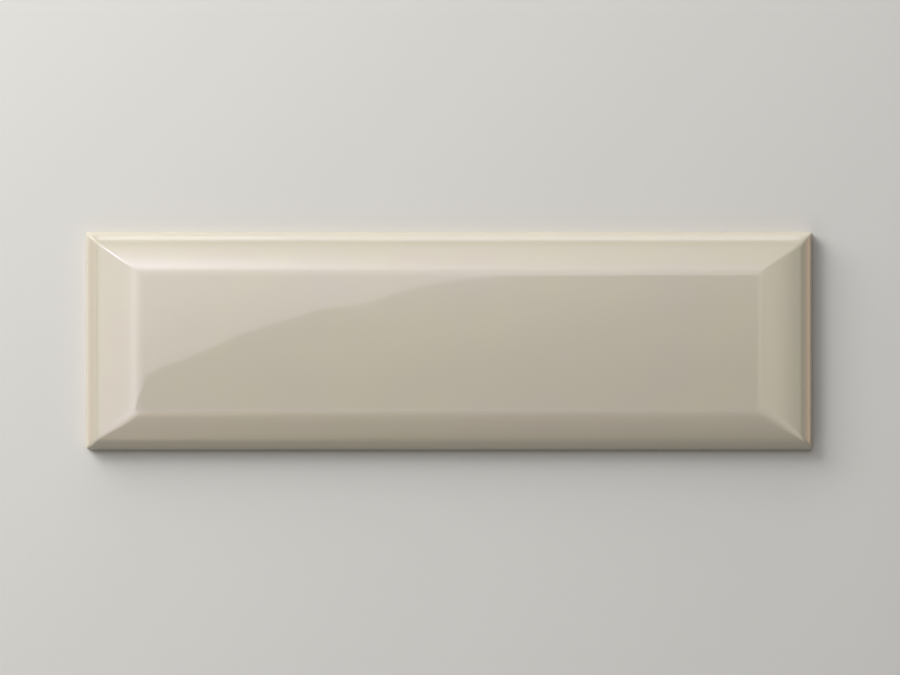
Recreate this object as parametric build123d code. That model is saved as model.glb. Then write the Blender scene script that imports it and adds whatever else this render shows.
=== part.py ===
from build123d import *
import os

# Glazed ceramic wall tile with a bevelled face, in a long brick format.
# It is dry-pressed and fired in one piece, so it is one solid. It lies on its back:
# +Z points out of the glazed face, +X runs along the length, +Y across the width,
# and the origin is the centre of the back. All sizes are in millimetres.

# Overall format
length = 250.0
width = 75.0
thickness = 8.5
corner_radius = 1.2

# Glazed face, from the edge inwards: upright wall, sloping rim, bevel, flat field
wall_height = 4.0
rim_run = 3.4
rim_rise = 1.9
end_bevel_run = 14.7
side_bevel_run = 9.9
bevel_crown = 0.25

# Roundings of the face section, where the pressed creases lie under the glaze
arris_radius = 3.2
rim_crease_radius = 12.0
crown_radius = 30.0
end_crease_radius = 36.0
side_crease_radius = 18.0

# Keyed back: shallow drafted pockets between ribs, which the adhesive grips
back_chamfer = 0.6
key_border = 5.0
key_rib = 3.5
key_cell = 13.5
key_depth = 0.7
key_draft = 25.0
key_corner_radius = 1.6


def face_section(span, bevel_run, crease_radius):
    """Section through two opposite edges: a flat-topped plateau with eased creases.

    The bevel is crowned: its middle stands a little proud of the straight line
    from the rim to the field, so it is steeper outside than inside.
    """
    half = span / 2
    rim_top = wall_height + rim_rise
    mid_height = (rim_top + thickness) / 2 + bevel_crown
    rising = [
        (half, 0),
        (half, wall_height),
        (half - rim_run, rim_top),
        (half - rim_run - bevel_run / 2, mid_height),
        (half - rim_run - bevel_run, thickness),
    ]
    falling = [(-x, z) for x, z in reversed(rising)]
    easing = [arris_radius, rim_crease_radius, crown_radius, crease_radius]
    top_line = FilletPolyline(rising + falling, radius=easing + easing[::-1])
    return make_face([top_line, Line(falling[-1], rising[0])])


def mitred_face(long_section, cross_section):
    """The two sections run across each other; where they meet, the bevels mitre."""
    along = extrude(Plane.XZ * long_section, amount=width / 2, both=True)
    across = extrude(Plane.YZ * cross_section, amount=length / 2, both=True)
    plan = Rectangle(length, width - 2 * corner_radius)
    plan += Rectangle(length - 2 * corner_radius, width)
    return along & across & extrude(plan, amount=thickness)


def corner_post(long_section):
    """A quarter turn of the section's outermost strip, which rounds one corner."""
    axis_to_centre = length / 2 - corner_radius
    strip = Pos(corner_radius / 2, thickness / 2) * Rectangle(corner_radius, thickness)
    outermost = (Pos(-axis_to_centre, 0) * long_section) & strip
    return revolve(Plane.XZ * outermost, axis=Axis.Z, revolution_arc=90)


def pressed_body():
    """The tile's outer form, before the back is keyed."""
    long_section = face_section(length, end_bevel_run, end_crease_radius)
    cross_section = face_section(width, side_bevel_run, side_crease_radius)
    body = mitred_face(long_section, cross_section)
    post = corner_post(long_section)
    x_centre = length / 2 - corner_radius
    y_centre = width / 2 - corner_radius
    quarter_turns = [(0, 1, 1), (90, -1, 1), (180, -1, -1), (270, 1, -1)]
    for turn, x_side, y_side in quarter_turns:
        body += Pos(x_side * x_centre, y_side * y_centre) * Rot(Z=turn) * post
    back_outline = body.edges().group_by(Axis.Z)[0]
    return chamfer(back_outline, length=back_chamfer)


def fitted_cells(span):
    """How many key pockets fit between the borders, and the size that fills the span."""
    keyed = span - 2 * key_border
    count = max(1, round((keyed + key_rib) / (key_cell + key_rib)))
    return count, (keyed - (count - 1) * key_rib) / count


def key_pockets():
    """The field of pockets, narrowing into the back so that the press can let go."""
    columns, pocket_length = fitted_cells(length)
    rows, pocket_width = fitted_cells(width)
    mouth = RectangleRounded(pocket_length, pocket_width, key_corner_radius)
    pocket = extrude(mouth, amount=key_depth, taper=key_draft)
    places = GridLocations(
        pocket_length + key_rib, pocket_width + key_rib, columns, rows
    )
    return [place * pocket for place in places]


tile = pressed_body() - key_pockets()

os.makedirs("parts", exist_ok=True)
export_step(tile, "parts/tile.step")
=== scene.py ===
# %% [markdown]
# A beveled wall tile
#
# The real tile is one piece of dry-pressed, glazed and fired clay. Its face is a low
# plateau: an upright wall, a sloping rim, a wide bevel and a flat field. All of its
# character is in how light runs over those soft creases, so this lesson spends its
# effort on a clean surface, a glaze and a few well placed lamps.
# The solid model gives the size. Everything here is built around it, in metres.

# %% Load the frame
import math

import bmesh
import bpy
import numpy as np
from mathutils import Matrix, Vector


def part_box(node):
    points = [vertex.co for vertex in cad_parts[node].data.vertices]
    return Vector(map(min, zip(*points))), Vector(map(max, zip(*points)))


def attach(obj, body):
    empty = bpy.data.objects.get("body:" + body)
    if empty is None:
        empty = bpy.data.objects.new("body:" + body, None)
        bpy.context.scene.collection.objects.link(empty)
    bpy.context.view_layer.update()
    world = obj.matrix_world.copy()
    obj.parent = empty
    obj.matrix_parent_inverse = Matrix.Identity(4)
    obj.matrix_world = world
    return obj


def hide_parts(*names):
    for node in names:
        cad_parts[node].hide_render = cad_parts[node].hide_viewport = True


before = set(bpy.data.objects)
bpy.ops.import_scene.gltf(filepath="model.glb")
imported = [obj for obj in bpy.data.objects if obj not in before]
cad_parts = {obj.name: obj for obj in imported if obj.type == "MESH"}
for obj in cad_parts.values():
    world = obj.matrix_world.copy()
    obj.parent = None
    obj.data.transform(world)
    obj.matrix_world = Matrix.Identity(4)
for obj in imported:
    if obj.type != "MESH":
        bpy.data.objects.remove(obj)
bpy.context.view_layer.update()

MM = 0.001
tile_low, tile_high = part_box("tile")
half_length = tile_high.x / MM
half_width = tile_high.y / MM
thickness = tile_high.z / MM
print(f"tile {2 * half_length:.1f} x {2 * half_width:.1f} x {thickness:.1f} mm")

# %% [markdown]
# The section of the face
#
# Cut the tile across and the face shows as a line of straight runs with eased corners.
# It could be drawn by hand as a spline, but pressed ware is made from a steel punch
# with plain radii, so plain radii give the most truthful curve. The crown has by far
# the widest one, because the glaze draws it out over the whole slope of the bevel.
# The two sections, along and across, have the same heights and other runs.

# %% The runs and radii of the section, in millimetres
WALL_HEIGHT = 4.0
RIM_RUN = 3.4
RIM_RISE = 1.9
END_BEVEL_RUN = 14.7
SIDE_BEVEL_RUN = 9.9
BEVEL_CROWN = 0.25
BACK_CHAMFER = 0.6
CHAMFER_RADIUS = 0.35
ARRIS_RADIUS = 3.2
RIM_CREASE_RADIUS = 12.0
END_CROWN_RADIUS = 130.0
SIDE_CROWN_RADIUS = 60.0
END_CREASE_RADIUS = 36.0
SIDE_CREASE_RADIUS = 18.0
FINE_STEPS = 301


def eased_line(corners, radii, steps):
    """A polyline whose inner corners are rounded by arcs.

    An arc leaves the first run at radius times the tangent of half the turn before the
    corner, and it swings about a centre that lies one radius to the side of that point.
    """
    corners = np.array(corners, float)
    pieces = [corners[:1]]
    for before, corner, after, radius in zip(corners, corners[1:], corners[2:], radii):
        way_in = (corner - before) / np.linalg.norm(corner - before)
        way_out = (after - corner) / np.linalg.norm(after - corner)
        side = way_in[0] * way_out[1] - way_in[1] * way_out[0]
        turn = math.asin(side)
        start = corner - way_in * radius * math.tan(abs(turn) / 2)
        left = np.array([-way_in[1], way_in[0]]) * math.copysign(1.0, turn)
        angle = np.linspace(0.0, abs(turn), steps)[:, None]
        arc = start + radius * (way_in * np.sin(angle) + left * (1 - np.cos(angle)))
        pieces.append(arc)
    return np.concatenate(pieces + [corners[-1:]])


def face_section(bevel_run, crown_radius, crease_radius, steps=FINE_STEPS):
    """Inset from the edge and height, from the back chamfer up to the flat field."""
    rim_top = WALL_HEIGHT + RIM_RISE
    corners = [
        (BACK_CHAMFER, 0.0),
        (0.0, BACK_CHAMFER),
        (0.0, WALL_HEIGHT),
        (RIM_RUN, rim_top),
        (RIM_RUN + bevel_run / 2, (rim_top + thickness) / 2 + BEVEL_CROWN),
        (RIM_RUN + bevel_run, thickness),
        (RIM_RUN + 2 * bevel_run, thickness),
    ]
    radii = [CHAMFER_RADIUS, ARRIS_RADIUS, RIM_CREASE_RADIUS, crown_radius, crease_radius]
    return eased_line(corners, radii, steps)[:-1]


END_FORM = (END_BEVEL_RUN, END_CROWN_RADIUS, END_CREASE_RADIUS)
SIDE_FORM = (SIDE_BEVEL_RUN, SIDE_CROWN_RADIUS, SIDE_CREASE_RADIUS)
end_section = face_section(*END_FORM)
side_section = face_section(*SIDE_FORM)
print("field starts", end_section[-1, 0].round(2), "mm in from the ends and",
      side_section[-1, 0].round(2), "mm in from the sides")

# %% [markdown]
# Contour rings
#
# A mitred plateau is the same thing as a stack of rectangles, one for each height.
# So the mesh is made of contour rings: at each height both sections say how far in
# the rectangle's sides lie, and a small radius at its corners melts the mitre, as
# glaze does in the kiln. On this tile the two lower mitres look softer than the upper
# ones, so they are melted more. Edges of the mesh then run along every crease and
# mitre, which a plain grid could only follow with very many faces.

# %% Heights of the rings and the two insets at each
CORNER_RADIUS = 1.2
MITRE_RADIUS = 0.9
FIELD_CORNER_RADIUS = 0.6
SOFTER_BELOW = 4.2
CORNER_TIGHTENING = 0.5
SOFTENING_PACE = 2.0
RING_STEPS = 11
CLOSEST_RINGS = 0.04
CLEAR_OF_CHAMFER = 0.2
CLEAR_OF_ARRIS = 2.0
WALL_RINGS = 5
CLEAR_OF_FIELD = 0.1
BEVEL_RINGS = 18

levels = np.unique(np.concatenate([
    face_section(*END_FORM, RING_STEPS)[:, 1],
    face_section(*SIDE_FORM, RING_STEPS)[:, 1],
    np.linspace(BACK_CHAMFER + CLEAR_OF_CHAMFER, WALL_HEIGHT - CLEAR_OF_ARRIS, WALL_RINGS),
    np.linspace(WALL_HEIGHT + RIM_RISE, thickness - CLEAR_OF_FIELD, BEVEL_RINGS),
]).round(6))
side_inset = np.interp(levels, side_section[:, 1], side_section[:, 0])
apart = np.hypot(np.diff(levels), np.diff(side_inset)) > CLOSEST_RINGS
levels = levels[np.concatenate([apart, [True]])]
end_inset = np.interp(levels, end_section[:, 1], end_section[:, 0])
side_inset = np.interp(levels, side_section[:, 1], side_section[:, 0])
rounding = np.maximum(CORNER_RADIUS - CORNER_TIGHTENING * side_inset, MITRE_RADIUS)
melting = np.clip((side_inset - RIM_RUN) / (side_inset[-1] - RIM_RUN), 0.0, 1.0)
rounding += (FIELD_CORNER_RADIUS - MITRE_RADIUS) * melting
softer = 1.0 + (SOFTER_BELOW - 1.0) * np.clip(SOFTENING_PACE * melting, 0.0, 1.0)
print(len(levels), "rings from the back up to the field")

# %% [markdown]
# One ring, and rings inside the field
#
# Every ring has the same number of points, in the same order, so that two rings can be
# joined by plain quads. A point is a share of the ring's straight half length or half
# width, plus a share of its corner radius. The flat field goes on inwards with more
# rings until the last one has no width left and closes on itself like a purse.

# %% The pattern of points that all rings share
CELLS_LONG = 14
CELLS_WIDE = 4
CELL_STEPS = 10
CORNER_STEPS = 10
NEAR_CORNER = np.array([0.004, 0.012])
FIELD_STEPS = np.array([0.01, 0.03, 0.06, 0.11, 0.18, 0.27, 0.38, 0.5, 0.63, 0.76, 0.88, 1.0])


def side_shares(cells, gathered):
    """Shares from +1 to -1 along one side, with two extra points near each corner."""
    even = np.linspace(1.0, -1.0, cells * CELL_STEPS + 1)[1:-1]
    near = 1.0 - (0.0 if gathered else 1.0) * NEAR_CORNER
    return np.concatenate([near, even, -near[::-1]])


def ring_pattern(gathered=False):
    """Rows of (share of length, share of width, cosine, sine), anticlockwise.

    When gathered, the corner arcs and the extra points all sit on the corner itself.
    """
    rows = []
    turn = np.linspace(0.0, math.pi / 2, CORNER_STEPS + 1)
    for quarter, cells in enumerate([CELLS_LONG, CELLS_WIDE, CELLS_LONG, CELLS_WIDE]):
        arc = np.column_stack([np.ones_like(turn), np.ones_like(turn), np.cos(turn), np.sin(turn)])
        shares = side_shares(cells, gathered)
        side = np.column_stack([shares, np.ones_like(shares), 0 * shares, np.ones_like(shares)])
        block = np.concatenate([arc, side])
        cos, sin = round(math.cos(quarter * math.pi / 2)), round(math.sin(quarter * math.pi / 2))
        spin = np.array([[cos, -sin], [sin, cos]])
        rows.append(np.hstack([block[:, :2] @ spin.T, block[:, 2:] @ spin.T]))
    return np.concatenate(rows)


def rings(pattern, half_x, half_y, radius, height, softer=1.0):
    """All rings at once: shape (rings, points, 3), in millimetres.

    The corners at negative y have the radius times softer.
    """
    half_x, half_y, radius, height, softer = np.broadcast_arrays(
        *[np.asarray(v, float)[..., None] for v in (half_x, half_y, radius, height, softer)]
    )
    radius = radius * np.where(pattern[:, 1] < 0, softer, 1.0)
    x = pattern[:, 0] * (half_x - radius) + pattern[:, 2] * radius
    y = pattern[:, 1] * (half_y - radius) + pattern[:, 3] * radius
    return np.stack([x, y, np.broadcast_to(height, x.shape)], axis=-1)


pattern = ring_pattern()
edge_rings = rings(
    pattern, half_length - end_inset, half_width - side_inset, rounding, levels, softer
)

field_half_width = half_width - side_inset[-1]
inward = FIELD_STEPS * field_half_width
field_rings = rings(
    pattern,
    half_length - end_inset[-1] - inward,
    field_half_width - inward,
    np.minimum(FIELD_CORNER_RADIUS, (field_half_width - inward) / SOFTER_BELOW),
    np.full(len(inward), thickness),
    SOFTER_BELOW,
)
print(edge_rings.shape, field_rings.shape)

# %% [markdown]
# The glaze is never quite level
#
# Molten glass pulls itself flat, but it keeps slow swells. Each is two thousandths of a
# millimetre high or less, and together they reach about a hundredth. Nobody sees them
# as a shape. They show only where the edge of a lamp is mirrored in the field, as a
# line that wavers. They could be bump, but real geometry carries them into every render
# and export, so they are part of the mesh.

# %% Slow swells in the face
SWELL_COUNT = 14
SWELL_SLOPE = 0.00028
SWELL_LONGEST = 44.0
SWELL_SHORTEST = 10.0


def swell(x, y):
    """Sum of plane waves with seeded directions; each has the same steepness."""
    random = np.random.default_rng(7)
    wavelength = np.geomspace(SWELL_LONGEST, SWELL_SHORTEST, SWELL_COUNT)
    heading = random.uniform(0.0, math.pi, SWELL_COUNT)
    phase = random.uniform(0.0, 2 * math.pi, SWELL_COUNT)
    number = 2 * math.pi / wavelength
    along = x[..., None] * np.cos(heading) + y[..., None] * np.sin(heading)
    waves = np.sin(number * along + phase) - 1.0
    return (waves * SWELL_SLOPE / number).sum(-1)


def lower_by_swell(points, fade):
    """Lets the face sink by the swell, and not at all where fade is 0."""
    points[..., 2] += swell(points[..., 0], points[..., 1]) * fade


face_share = np.clip((levels - WALL_HEIGHT) / RIM_RISE, 0.0, 1.0)[:, None]
lower_by_swell(edge_rings, face_share)
lower_by_swell(field_rings, 1.0)
print("the field lies", round(thickness - field_rings[..., 2].min(), 4), "mm below the box at most")

# %% [markdown]
# The keyed back
#
# The back is a waffle of shallow pockets between ribs, which the adhesive grips. Each
# cell of the waffle is a square of flat back with a sunk pocket in it. One cell is
# worked out as a stack of small rings and then laid out over the whole grid at once.

# %% One cell of the back, repeated over the grid
KEY_BORDER = 5.0
KEY_RIB = 3.5
KEY_DEPTH = 0.7
KEY_DRAFT = math.radians(25.0)
KEY_CORNER = 1.6
KEY_EASE = 0.05
TOP_EASE = 0.2
FOOT_EASE = 0.3
HALF_ARC = 2
DEPTH_SHARES = np.array([0.0, 0.06, 0.2, 0.5, 0.8, 0.94, 1.0])
FLOOR_RING_SHARE = 0.5

pitch_x = (2 * (half_length - KEY_BORDER) + KEY_RIB) / CELLS_LONG
pitch_y = (2 * (half_width - KEY_BORDER) + KEY_RIB) / CELLS_WIDE


def cell_pattern():
    """Points round a cell: on its square outline, and as shares of a rounded pocket."""
    k = np.arange(CELL_STEPS)
    on_square = np.column_stack([np.ones(CELL_STEPS), k / CELL_STEPS * 2 - 1])
    share = np.clip((k - HALF_ARC) / (CELL_STEPS - 2 * HALF_ARC), 0, 1) * 2 - 1
    bends = [0, HALF_ARC, CELL_STEPS - HALF_ARC, CELL_STEPS]
    angle = np.radians(np.interp(k, bends, [-45, 0, 0, 45]))
    side = np.column_stack([on_square, np.ones(CELL_STEPS), share, np.cos(angle), np.sin(angle)])
    quarters = []
    for cos, sin in [(1, 0), (0, 1), (-1, 0), (0, -1)]:
        spin = np.array([[cos, -sin], [sin, cos]])
        quarters.append(np.hstack([side[:, i:i + 2] @ spin.T for i in (0, 2, 4)]))
    return np.concatenate(quarters)


def pocket_rings():
    """A cell's rings, from its square outline to the middle of the pocket floor.

    The wall leans in by its draft; a short decaying step eases its top and its foot.
    """
    pattern = cell_pattern()
    depth = KEY_DEPTH * DEPTH_SHARES
    top = np.exp(-depth / KEY_EASE) * TOP_EASE
    foot = np.exp((depth - KEY_DEPTH) / KEY_EASE) * FOOT_EASE
    offset = top - foot - np.tan(KEY_DRAFT) * depth
    half_x = (pitch_x - KEY_RIB) / 2 + offset
    half_y = (pitch_y - KEY_RIB) / 2 + offset
    radius = np.full_like(depth, KEY_CORNER)
    outline = np.column_stack([
        pattern[:, 0] * pitch_x / 2, pattern[:, 1] * pitch_y / 2, np.zeros(len(pattern)),
    ])
    walls = rings(pattern[:, 2:], half_x, half_y, radius, depth)
    floor_ring = walls[-1] * [FLOOR_RING_SHARE, FLOOR_RING_SHARE, 1.0]
    centre = walls[-1] * [0.0, 0.0, 1.0]
    return np.concatenate([outline[None], walls, floor_ring[None], centre[None]])


cell = pocket_rings()
column = (np.arange(CELLS_LONG) - (CELLS_LONG - 1) / 2) * pitch_x
row = (np.arange(CELLS_WIDE) - (CELLS_WIDE - 1) / 2) * pitch_y
places = np.stack(np.meshgrid(column, row), axis=-1).reshape(-1, 2)
places = np.pad(places, ((0, 0), (0, 1)))
cells = cell[None] + places[:, None, None, :]

back_rim = rings(
    ring_pattern(gathered=True), CELLS_LONG * pitch_x / 2, CELLS_WIDE * pitch_y / 2, 0.0, [0.0]
)
print(len(cells), "pockets of", (cell[1].max(0) - cell[1].min(0))[:2].round(2), "mm")

# %% [markdown]
# Put together
#
# The shell is the back's rim, the rings up the wall and over the face, and the field,
# all in one stack. The cells close it underneath. Where a ring has gathered to a
# corner, a line or a point, its spare points are merged, and after that the faces are
# turned outwards. An attribute keeps how deep the glaze lies at each point.

# %% Quads between rings, merged into one closed mesh
MERGE_WITHIN = 2e-6


def ring_quads(ring_count, point_count, first=0):
    """Vertex numbers of the quads that join each ring to the next."""
    ring = np.arange(ring_count - 1)[:, None] * point_count
    here = np.arange(point_count)[None, :]
    onward = (here + 1) % point_count
    corners = np.stack([ring + here, ring + onward, ring + point_count + onward,
                        ring + point_count + here], axis=-1)
    return corners.reshape(-1, 4) + first


shell = np.concatenate([back_rim, edge_rings, field_rings])
shell_points = shell.reshape(-1, 3)
shell_quads = ring_quads(*shell.shape[:2])
cell_points = cells.reshape(-1, 3)
one_cell = ring_quads(*cell.shape[:2])
cell_starts = np.arange(len(cells)) * cell.shape[0] * cell.shape[1]
cell_quads = (one_cell[None] + cell_starts[:, None, None]).reshape(-1, 4)
points = np.concatenate([shell_points, cell_points]) * MM
quads = np.concatenate([shell_quads, cell_quads + len(shell_points)])

tile_mesh = bpy.data.meshes.new("glazed_tile")
tile_mesh.from_pydata(points.tolist(), [], quads.tolist())
draft = bmesh.new()
draft.from_mesh(tile_mesh)
bmesh.ops.remove_doubles(draft, verts=draft.verts, dist=MERGE_WITHIN)
bmesh.ops.recalc_face_normals(draft, faces=draft.faces)
open_edges = sum(len(edge.link_faces) != 2 for edge in draft.edges)
draft.to_mesh(tile_mesh)
draft.free()
tile_mesh.shade_smooth()
glazed_tile = bpy.data.objects.new("glazed_tile", tile_mesh)
bpy.context.scene.collection.objects.link(glazed_tile)
triangles = sum(len(polygon.vertices) - 2 for polygon in tile_mesh.polygons)
print(triangles, "triangles,", open_edges, "open edges")

# %% How deep the glaze lies
THINNEST_AT = 2.0
THIN_WIDTH = 1.5
POOL_AT = 4.4
POOL_WIDTH = 0.9
POOLING = 0.3
THIN_ALONG_ENDS = 0.6
THIN_ALONG_SIDES = 0.28
END_SIDE_BLEND = 1.0


def smooth_step(value, low, high):
    """0 below low, 1 above high, and an even S in between."""
    share = np.clip((value - low) / (high - low), 0.0, 1.0)
    return share * share * (3 - 2 * share)


def bump(value, centre, width):
    """A bell curve of height 1: exp of minus the squared distance over the width."""
    return np.exp(-(((value - centre) / width) ** 2))


flat_points = np.zeros(len(tile_mesh.vertices) * 3, np.float32)
tile_mesh.vertices.foreach_get("co", flat_points)
x, y, z = (flat_points.reshape(-1, 3) / MM).T
inset = np.minimum(half_length - np.abs(x), half_width - np.abs(y))
nearer_end = half_width - np.abs(y) - (half_length - np.abs(x))
at_ends = smooth_step(nearer_end, -END_SIDE_BLEND, END_SIDE_BLEND)
thinning = THIN_ALONG_SIDES + (THIN_ALONG_ENDS - THIN_ALONG_SIDES) * at_ends
depth = 1.0 - thinning * bump(inset, THINNEST_AT, THIN_WIDTH)
depth += POOLING * bump(inset, POOL_AT, POOL_WIDTH)
glaze_depth = tile_mesh.attributes.new("glaze_depth", "FLOAT", "POINT")
glaze_depth.data.foreach_set("value", depth.astype(np.float32))
print("glaze depth from", depth.min().round(2), "to", depth.max().round(2))

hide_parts("tile")
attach(glazed_tile, "root")

# %% [markdown]
# Helpers for materials
#
# Colours are written as sRGB hex, the way a paint chart gives them, and turned into
# the linear values that the renderer adds up. One function adds any node.

# %% Colour and node helpers


def linear(hex_code):
    """sRGB hex to linear RGBA: a power of 2.4 above a short straight foot."""
    srgb = np.array([int(hex_code[i:i + 2], 16) for i in (1, 3, 5)]) / 255
    rgb = np.where(srgb <= 0.04045, srgb / 12.92, ((srgb + 0.055) / 1.055) ** 2.4)
    return (*rgb.tolist(), 1.0)


def add_node(tree, kind, settings=None, inputs=None):
    """Adds a node, sets its properties, and sets or links its inputs by name or number."""
    node = tree.nodes.new(kind)
    for name, value in (settings or {}).items():
        setattr(node, name, value)
    for name, value in (inputs or {}).items():
        if isinstance(value, bpy.types.NodeSocket):
            tree.links.new(value, node.inputs[name])
        else:
            node.inputs[name].default_value = value
    return node


def new_material(name):
    """An empty node material."""
    material = bpy.data.materials.new(name)
    material.use_nodes = True
    material.node_tree.nodes.clear()
    return material


# %% [markdown]
# Glossy cream glaze over buff biscuit
#
# The glaze is an opaque glass that is fired to a mirror. It hides the clay on the
# face, but it runs thin over the rim, most of all at the two ends, and there a warm
# pinkish tone of the clay comes through. Just inside the rim it pools and looks a
# little deeper.
# Low on the walls the glaze stops at an uneven line, and the bare biscuit of the back
# is matt and finely grained. Both are one material, mixed by a mask, because on the
# real tile the one grows out of the other.

# %% The glazed ceramic
CREAM = "#BAB3A1"
CREAM_COOL = "#B9B1A2"
CREAM_DEEP = "#B6B09C"
THIN_GLAZE = "#B5AB9B"
BISCUIT = "#CDBBA3"
BISCUIT_DARK = "#BDA88E"
GLAZE_IOR = 1.5
GLAZE_ROUGHNESS = 0.024
BISCUIT_ROUGHNESS = 0.88
CLOUD_SIZE = 24.0
CLOUD_FROM, CLOUD_TO = 0.38, 0.62
PEEL_SIZE = 3.2
PEEL_HEIGHT = 0.0006
GRAIN_SIZE = 0.5
GRAIN_HEIGHT = 0.08
GLAZE_LINE = 1.5
GLAZE_LINE_SWING = 0.9
GLAZE_LINE_WAVE = 6.0
GLAZE_LINE_EDGE = 0.25


def per_metre(size_in_mm):
    """Noise scale that gives features of about this size in Object coordinates."""
    return 1.0 / (size_in_mm * MM)


ceramic = new_material("glazed_ceramic")
tree = ceramic.node_tree
place = add_node(tree, "ShaderNodeTexCoord").outputs["Object"]
height = add_node(tree, "ShaderNodeSeparateXYZ", inputs={0: place}).outputs["Z"]
deep = add_node(tree, "ShaderNodeAttribute", {"attribute_name": "glaze_depth"}).outputs["Fac"]

clouds = add_node(tree, "ShaderNodeTexNoise", {}, {
    "Vector": place, "Scale": per_metre(CLOUD_SIZE), "Detail": 3.0, "Roughness": 0.55,
}).outputs["Fac"]
cream = add_node(tree, "ShaderNodeValToRGB", inputs={0: clouds})
cream.color_ramp.elements[0].position = CLOUD_FROM
cream.color_ramp.elements[0].color = linear(CREAM)
cream.color_ramp.elements[1].position = CLOUD_TO
cream.color_ramp.elements[1].color = linear(CREAM_COOL)

thin_share = add_node(tree, "ShaderNodeMapRange", {"interpolation_type": "SMOOTHSTEP"}, {
    "Value": deep, "From Min": 1.0, "From Max": 1.0 - THIN_ALONG_ENDS,
}).outputs["Result"]
glaze_colour = add_node(tree, "ShaderNodeMix", {"data_type": "RGBA"}, {
    "Factor": thin_share, "A": cream.outputs["Color"], "B": linear(THIN_GLAZE),
}).outputs["Result"]
pool_share = add_node(tree, "ShaderNodeMapRange", {}, {
    "Value": deep, "From Min": 1.0, "From Max": 1.0 + POOLING,
}).outputs["Result"]
glaze_colour = add_node(tree, "ShaderNodeMix", {"data_type": "RGBA"}, {
    "Factor": pool_share, "A": glaze_colour, "B": linear(CREAM_DEEP),
}).outputs["Result"]

grain = add_node(tree, "ShaderNodeTexNoise", {}, {
    "Vector": place, "Scale": per_metre(GRAIN_SIZE), "Detail": 4.0, "Roughness": 0.6,
}).outputs["Fac"]
biscuit_colour = add_node(tree, "ShaderNodeMix", {"data_type": "RGBA"}, {
    "Factor": grain, "A": linear(BISCUIT), "B": linear(BISCUIT_DARK),
}).outputs["Result"]

line_noise = add_node(tree, "ShaderNodeTexNoise", {}, {
    "Vector": place, "Scale": per_metre(GLAZE_LINE_WAVE), "Detail": 3.0, "Roughness": 0.6,
}).outputs["Fac"]
line_height = add_node(tree, "ShaderNodeMath", {"operation": "MULTIPLY_ADD"}, {
    0: line_noise, 1: GLAZE_LINE_SWING * MM, 2: (GLAZE_LINE - GLAZE_LINE_SWING / 2) * MM,
}).outputs[0]
above = add_node(tree, "ShaderNodeMath", {"operation": "SUBTRACT"}, {
    0: height, 1: line_height,
}).outputs[0]
glazed = add_node(tree, "ShaderNodeMapRange", {"interpolation_type": "SMOOTHSTEP"}, {
    "Value": above, "From Min": 0.0, "From Max": GLAZE_LINE_EDGE * MM,
}).outputs["Result"]

colour = add_node(tree, "ShaderNodeMix", {"data_type": "RGBA"}, {
    "Factor": glazed, "A": biscuit_colour, "B": glaze_colour,
}).outputs["Result"]
roughness = add_node(tree, "ShaderNodeMapRange", {}, {
    "Value": glazed, "To Min": BISCUIT_ROUGHNESS, "To Max": GLAZE_ROUGHNESS,
}).outputs["Result"]

peel = add_node(tree, "ShaderNodeTexNoise", {}, {
    "Vector": place, "Scale": per_metre(PEEL_SIZE), "Detail": 1.0, "Roughness": 0.4,
}).outputs["Fac"]
peel_bump = add_node(tree, "ShaderNodeBump", {}, {
    "Height": peel, "Strength": 1.0, "Distance": PEEL_HEIGHT * MM,
}).outputs["Normal"]
grain_strength = add_node(tree, "ShaderNodeMath", {"operation": "SUBTRACT"}, {
    0: 1.0, 1: glazed,
}).outputs[0]
surface = add_node(tree, "ShaderNodeBump", {}, {
    "Height": grain, "Strength": grain_strength, "Distance": GRAIN_HEIGHT * MM,
    "Normal": peel_bump,
}).outputs["Normal"]
shader = add_node(tree, "ShaderNodeBsdfPrincipled", {}, {
    "Base Color": colour, "Roughness": roughness, "Normal": surface, "IOR": GLAZE_IOR,
}).outputs["BSDF"]
add_node(tree, "ShaderNodeOutputMaterial", {}, {"Surface": shader})
tile_mesh.materials.append(ceramic)

# %% [markdown]
# Floor and surroundings
#
# A plain pale floor carries the tile's shadow. Far from the tile the lamps would let
# the floor go dark, so for the eye it fades there into an even backdrop tone, and the
# world has the same tone at the horizon. Overhead the world is dim, so that the face
# mirrors the lamps and little else.

# %% Floor and world
FLOOR_COLOUR = "#CFCDC9"
FLOOR_FOR_BOUNCE = "#6E6C69"
FLOOR_HALF = 12.0
BACKDROP_FROM = 0.19
BACKDROP_TO = 0.40
WORLD_DIM = 0.06
HORIZON_TO = math.radians(10)
DIM_FROM = math.radians(30)

floor_mesh = bpy.data.meshes.new("floor")
floor_corners = [(-1, -1, 0), (1, -1, 0), (1, 1, 0), (-1, 1, 0)]
floor_mesh.from_pydata((np.array(floor_corners) * FLOOR_HALF).tolist(), [], [(0, 1, 2, 3)])
floor = bpy.data.objects.new("floor", floor_mesh)
bpy.context.scene.collection.objects.link(floor)

floor_paint = new_material("matt_floor_paint")
tree = floor_paint.node_tree
place = add_node(tree, "ShaderNodeTexCoord").outputs["Object"]
away = add_node(tree, "ShaderNodeVectorMath", {"operation": "LENGTH"}, {0: place}).outputs["Value"]
far = add_node(tree, "ShaderNodeMapRange", {"interpolation_type": "SMOOTHSTEP"}, {
    "Value": away, "From Min": BACKDROP_FROM, "From Max": BACKDROP_TO,
}).outputs["Result"]
path = add_node(tree, "ShaderNodeLightPath").outputs
seen = add_node(tree, "ShaderNodeMath", {"operation": "MAXIMUM"}, {
    0: path["Is Camera Ray"], 1: path["Is Glossy Ray"],
}).outputs[0]
seen = add_node(tree, "ShaderNodeMath", {"operation": "MAXIMUM"}, {
    0: seen, 1: path["Is Transmission Ray"],
}).outputs[0]
backdrop_share = add_node(tree, "ShaderNodeMath", {"operation": "MULTIPLY"}, {
    0: far, 1: seen,
}).outputs[0]
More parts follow.
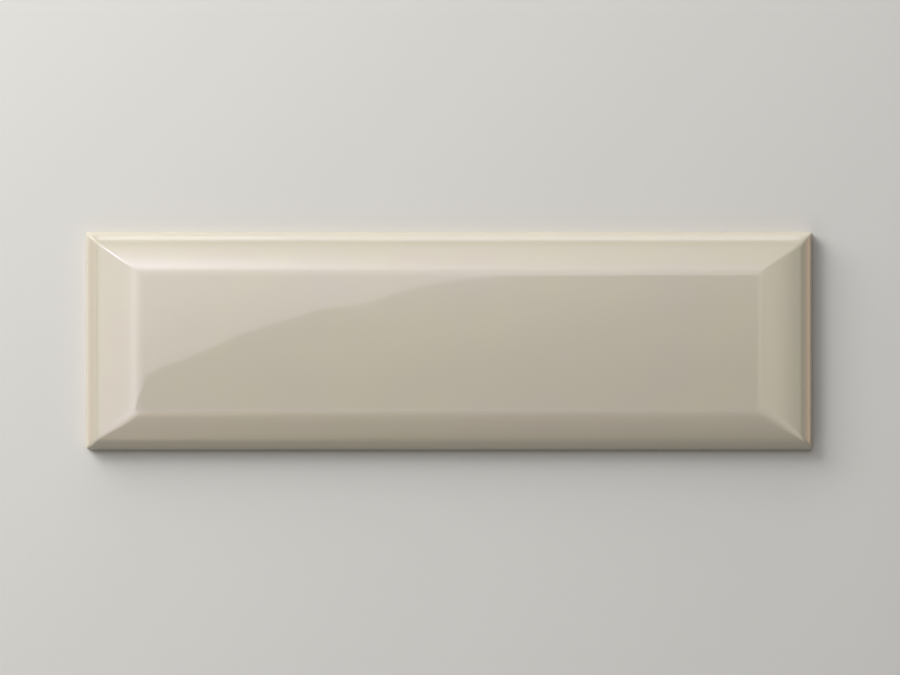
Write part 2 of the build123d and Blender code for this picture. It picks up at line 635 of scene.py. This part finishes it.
floor_colour = add_node(tree, "ShaderNodeMix", {"data_type": "RGBA"}, {
    "Factor": seen, "A": linear(FLOOR_FOR_BOUNCE), "B": linear(FLOOR_COLOUR),
}).outputs["Result"]
matt = add_node(tree, "ShaderNodeBsdfDiffuse", {}, {"Color": floor_colour}).outputs[0]
even = add_node(tree, "ShaderNodeEmission", {}, {"Color": linear(FLOOR_COLOUR)}).outputs[0]
floor_shader = add_node(tree, "ShaderNodeMixShader", {}, {
    0: backdrop_share, 1: matt, 2: even,
}).outputs[0]
add_node(tree, "ShaderNodeOutputMaterial", {}, {"Surface": floor_shader})
floor_mesh.materials.append(floor_paint)

world = bpy.data.worlds.new("studio")
world.use_nodes = True
world.node_tree.nodes.clear()
bpy.context.scene.world = world
tree = world.node_tree
direction = add_node(tree, "ShaderNodeTexCoord").outputs["Generated"]
up = add_node(tree, "ShaderNodeSeparateXYZ", inputs={0: direction}).outputs["Z"]
lift = add_node(tree, "ShaderNodeMapRange", {"interpolation_type": "SMOOTHSTEP"}, {
    "Value": up, "From Min": math.sin(HORIZON_TO), "From Max": math.sin(DIM_FROM),
    "To Min": 1.0, "To Max": WORLD_DIM,
}).outputs["Result"]
glow = add_node(tree, "ShaderNodeBackground", {}, {
    "Color": linear(FLOOR_COLOUR), "Strength": lift,
}).outputs[0]
add_node(tree, "ShaderNodeOutputWorld", {}, {"Surface": glow})

# %% [markdown]
# Lamps
#
# The bevels ask for a low key from the upper left: it makes the left and top slopes
# bright and lets the right and bottom ones fall away. A weaker one fills in from the
# lower left. A glaze shows every lamp twice, as light and as a mirror image, and the two
# are easier to place one by one. So four lamps light the tile without being mirrored,
# and seven strips are mirrored without lighting it: a dimmer face of the key, cool ones
# behind, which draw the line along the top rim, and warm ones on the right. Power is
# worked out from the brightness of a lamp's face, because that is what a glaze mirrors.

# %% Area lamps
lamps_made = []


def area_lamp(name, zenith, azimuth, distance, width, height, radiance, colour="#FFFFFF"):
    """A rectangular lamp that looks at the tile from the given angles, in degrees.

    Its power is radiance times area times pi.
    """
    data = bpy.data.lights.new(name, "AREA")
    data.shape = "RECTANGLE"
    data.size = width
    data.size_y = height
    data.energy = radiance * width * height * math.pi
    data.color = linear(colour)[:3]
    lamp = bpy.data.objects.new(name, data)
    bpy.context.scene.collection.objects.link(lamp)
    lamp.rotation_euler = (math.radians(zenith), 0.0, math.radians(azimuth + 90))
    tilt, around = math.radians(zenith), math.radians(azimuth)
    lamp.location = (
        distance * math.sin(tilt) * math.cos(around),
        distance * math.sin(tilt) * math.sin(around),
        distance * math.cos(tilt),
    )
    lamp.visible_camera = False
    lamps_made.append(lamp)
    return lamp


# name, zenith, azimuth, distance, width, height, radiance, colour
key = area_lamp("key", 62, 135, 1.3, 0.85, 0.68, 9.1)
key_low = area_lamp("key_low", 78, 142, 1.6, 1.4, 0.4, 8.0)
area_lamp("fill_front", 60, 232, 1.6, 0.8, 0.5, 2.9)
overhead = area_lamp("overhead", 20, 100, 1.5, 1.3, 0.7, 2.3)
back_low = area_lamp("back_low", 80, 90, 1.6, 1.0, 0.4, 4.6)
for lamp in (key, key_low, overhead, back_low):
    lamp.visible_glossy = False

strips = [
    area_lamp("key_face", 62, 135, 1.31, 0.85, 0.68, 4.2),
    area_lamp("top_strip", 60.5, 90, 1.6, 0.76, 0.36, 4.1, "#E4F0FF"),
    area_lamp("top_strip_low", 77, 90, 1.6, 0.9, 0.6, 1.4, "#E8F2FF"),
    area_lamp("rim_line", 61.0, 106, 1.6, 0.42, 0.06, 1.6),
    area_lamp("right_strip", 66, 0, 1.6, 0.7, 0.9, 0.9, "#FFDDB8"),
    area_lamp("right_strip_low", 69.5, 0, 1.59, 0.7, 0.7, 2.2, "#FFD2A6"),
    area_lamp("right_line", 69, 0, 1.58, 0.7, 0.1, 1.9, "#FFDDB8"),
]
for strip in strips:
    strip.visible_diffuse = False
print([lamp.name for lamp in lamps_made])

# %% [markdown]
# The card that the glaze mirrors
#
# A gloss is only as good as what it mirrors. Over the tile hangs one large cloth, lit
# from behind. It has a crisp edge, and the image of that edge is the long line that
# sweeps over the field. Elsewhere it has no edges, only soft brighter places, which
# the creases and mitres draw out into lines. Round the mirrored place of each lower
# field corner its light fades with the angle, which keeps the lower mitres soft.
# The cloth takes no part in lighting the tile, it is seen by reflections alone, and the
# overhead lamp gives its light instead.
# It is a mesh whose brightness is an attribute, because an area lamp can have neither
# a curved edge nor a soft one.

# %% The line of the crisp edge
CARD_HEIGHT = 1.4
CARD_LEFT, CARD_RIGHT = -1.0, 1.0
CARD_BOTTOM, CARD_TOP = -1.1, 1.5
SWEEP = [
    (-1.0, -0.088), (-0.736, -0.072), (-0.6, -0.068), (-0.45, -0.064), (-0.385, -0.057),
    (-0.355, -0.0478), (-0.306, -0.0415), (-0.25, -0.0368), (-0.222, -0.0335),
    (-0.2125, -0.0262), (-0.2008, -0.0192), (-0.187, -0.0142), (-0.156, 0.0),
    (-0.106, 0.016), (-0.05, 0.0276), (-0.006, 0.0395), (0.022, 0.0435), (0.2, 0.062),
    (0.6, 0.09), (1.0, 0.12),
]


def smooth_through(knots, at):
    """A curve through knots: cubic Hermite pieces whose slope at a knot is that of the
    line between its two neighbours."""
    knots = np.array(knots)
    slope = np.gradient(knots[:, 1], knots[:, 0])
    piece = np.clip(np.searchsorted(knots[:, 0], at) - 1, 0, len(knots) - 2)
    run = knots[piece + 1, 0] - knots[piece, 0]
    t = (at - knots[piece, 0]) / run
    ends = (2 * t**3 - 3 * t**2 + 1) * knots[piece, 1] + (3 * t**2 - 2 * t**3) * knots[piece + 1, 1]
    pulls = (t**3 - 2 * t**2 + t) * slope[piece] + (t**3 - t**2) * slope[piece + 1]
    return ends + run * pulls


# %% The card's grid, in units of its height
CARD_COLUMNS = 320
CARD_ROWS = 120
EDGE_GAP = 0.0003
ROW_CROWDING = 1.5

u, v = np.meshgrid(np.linspace(CARD_LEFT, CARD_RIGHT, CARD_COLUMNS), np.linspace(0, 1, CARD_ROWS))
edge = smooth_through(SWEEP, u)
below = (edge + (CARD_BOTTOM - edge) * v**ROW_CROWDING)[::-1]
above = edge + EDGE_GAP + (CARD_TOP - edge - EDGE_GAP) * v**ROW_CROWDING
card_x = np.concatenate([u, u])
card_y = np.concatenate([below, above])
is_above = np.concatenate([np.zeros_like(u), np.ones_like(u)])

# %% Its brightness: the swept part, a veil that thins downwards, and soft places
COOL = np.array([1.0, 0.92, 1.05])
LAVENDER = np.array([1.0, 0.885, 1.22])
BUFF = np.array([1.0, 0.91, 0.71])
RUST = np.array([1.0, 0.65, 0.45])
WARM = np.array([1.0, 0.97, 0.82])
# A fade or a from-to pair feeds smooth_step. Where it is read on minus x or minus y, the
# light falls off towards the right or the top.
SWEPT_RADIANCE = 1.6
SWEPT_LEFT_FADE = (-1.0, -0.74)
SWEPT_RIGHT_FADE = (-0.55, -0.1)
SWEPT_TOP_FADE = (-1.0, -0.6)
LEFT_RADIANCE = 0.7
LEFT_FROM_TO = (0.12, 0.30)
LEFT_CREASE_RADIANCE = 1.9
LEFT_CREASE_PLACE = (-0.42, 0.1)
VEIL_RADIANCE = 1.4
VEIL_EDGE_FADE = (-0.053, 0.068)
VEIL_SIDE_FADE = (-0.9, -0.2)
VEIL_TOP_FADE = (-1.05, -0.45)
VEIL_LOSS = 0.4
VEIL_LOSS_FROM_TO = (0.0, 0.2)
SOFT_PLACES = [
    # centre x, centre y, width x, width y, radiance, colour
    (-0.48, 0.30, 0.075, 0.055, 11.0, LAVENDER),
    (-0.28, 0.45, 0.20, 0.16, 4.1, LAVENDER),
    (0.00, 0.33, 0.60, 0.14, 1.7, COOL),
    (0.00, 0.10, 0.40, 0.08, 1.2, COOL),
    (0.00, 1.15, 0.80, 0.30, 0.9, LAVENDER),
    (0.31, 0.00, 0.05, 0.30, 1.0, BUFF),
    (-0.50, -0.14, 0.18, 0.14, 0.9, COOL),
    (0.00, -0.42, 0.60, 0.11, 0.6, BUFF),
    (-0.10, -0.20, 0.55, 0.11, 1.3, COOL),
    (-0.30, -0.34, 0.18, 0.12, 1.7, RUST),
    (-0.10, -0.60, 0.60, 0.30, 0.7, RUST),
    (-0.30, -0.92, 0.25, 0.20, 1.1, RUST),
]

RIGHT_RADIANCE = 2.8
RIGHT_PLACE = (0.54, 0.22)
RIGHT_REACH_UP = 0.3
LEFT_CORNER_FADE = (0.09, 0.15)
RIGHT_CORNER_FADE = (0.0, 0.06)
CORNER_X = 0.24
CORNER_Y = -0.08
FADE_FROM = math.radians(22)
FADE_TO = math.radians(108)


def beside_corner(side, near, far):
    """1 beside the mirrored place of a lower field corner, fading as one turns to below.

    An even S of the angle at that place, times one of the distance from it.
    """
    down = np.maximum(CORNER_Y - card_y, 0.0)
    out = side * card_x - CORNER_X
    angle = np.arctan2(down, out)
    return smooth_step(np.hypot(down, out), near, far) * smooth_step(-angle, -FADE_TO, -FADE_FROM)


swept = SWEPT_RADIANCE + LEFT_RADIANCE * smooth_step(-card_x, *LEFT_FROM_TO)
swept += LEFT_CREASE_RADIANCE * bump(card_x, *LEFT_CREASE_PLACE)
swept *= smooth_step(card_x, *SWEPT_LEFT_FADE) * smooth_step(-card_x, *SWEPT_RIGHT_FADE)
swept *= smooth_step(-card_y, *SWEPT_TOP_FADE)
swept *= np.maximum(is_above, beside_corner(-1, *LEFT_CORNER_FADE))
right = RIGHT_RADIANCE * bump(card_x, *RIGHT_PLACE)
right = right * bump(np.maximum(card_y, 0.0), 0.0, RIGHT_REACH_UP)
right *= beside_corner(1, *RIGHT_CORNER_FADE)
veil = VEIL_RADIANCE * smooth_step(card_y, *VEIL_EDGE_FADE)
veil *= smooth_step(-np.abs(card_x), *VEIL_SIDE_FADE) * smooth_step(-card_y, *VEIL_TOP_FADE)
veil *= 1.0 - VEIL_LOSS * smooth_step(card_x, *VEIL_LOSS_FROM_TO)
glow = swept[..., None] * COOL + right[..., None] * BUFF + veil[..., None] * WARM
for centre_x, centre_y, width_x, width_y, radiance, colour in SOFT_PLACES:
    soft = radiance * bump(card_x, centre_x, width_x) * bump(card_y, centre_y, width_y)
    glow += soft[..., None] * colour
glow = np.concatenate([glow, np.ones_like(glow[..., :1])], axis=-1)
print("brightest place of the card", glow.max().round(2))

# %% The card itself
card_points = np.stack([card_x, card_y, np.ones_like(card_x)], axis=-1).reshape(-1, 3)
number = np.arange(2 * CARD_ROWS * CARD_COLUMNS).reshape(2 * CARD_ROWS, CARD_COLUMNS)
card_quads = np.stack(
    [number[:-1, :-1], number[1:, :-1], number[1:, 1:], number[:-1, 1:]], axis=-1
).reshape(-1, 4)
card_mesh = bpy.data.meshes.new("mirror_card")
card_mesh.from_pydata((card_points * CARD_HEIGHT).tolist(), [], card_quads.tolist())
glow_attribute = card_mesh.attributes.new("glow", "FLOAT_COLOR", "POINT")
glow_attribute.data.foreach_set("color", glow.astype(np.float32).ravel())

cloth = new_material("backlit_diffuser_cloth")
tree = cloth.node_tree
cloth_colour = add_node(tree, "ShaderNodeAttribute", {"attribute_name": "glow"}).outputs["Color"]
cloth_light = add_node(tree, "ShaderNodeEmission", {}, {"Color": cloth_colour}).outputs[0]
add_node(tree, "ShaderNodeOutputMaterial", {}, {"Surface": cloth_light})
cloth.cycles.emission_sampling = "NONE"
card_mesh.materials.append(cloth)
mirror_card = bpy.data.objects.new("mirror_card", card_mesh)
bpy.context.scene.collection.objects.link(mirror_card)
mirror_card.visible_camera = False
mirror_card.visible_diffuse = False
mirror_card.visible_shadow = False

# %% [markdown]
# The camera
#
# The tile was photographed square on, so the camera hangs straight above it with a
# long lens. Image right is the tile's length and image up is its width. The distance
# follows from how many pixels one millimetre of the outline has to cover.

# %% Camera
LENS = 85.0
SENSOR = 36.0
FRAME_WIDTH = 900
FRAME_HEIGHT = 675
PIXELS_PER_MM = 2.912
TILE_CENTRE_PX = (449.5, 340.9)
OUTLINE_HEIGHT = 3.6

camera_data = bpy.data.cameras.new("camera")
camera_data.lens = LENS
camera_data.sensor_width = SENSOR
camera = bpy.data.objects.new("camera", camera_data)
bpy.context.scene.collection.objects.link(camera)
camera_distance = LENS / SENSOR * FRAME_WIDTH / PIXELS_PER_MM
camera.location = (
    (FRAME_WIDTH / 2 - TILE_CENTRE_PX[0]) / PIXELS_PER_MM * MM,
    (TILE_CENTRE_PX[1] - FRAME_HEIGHT / 2) / PIXELS_PER_MM * MM,
    (camera_distance + OUTLINE_HEIGHT) * MM,
)
bpy.context.scene.camera = camera
bpy.context.scene.view_settings.view_transform = "Standard"
print("camera", [round(v, 4) for v in camera.location])
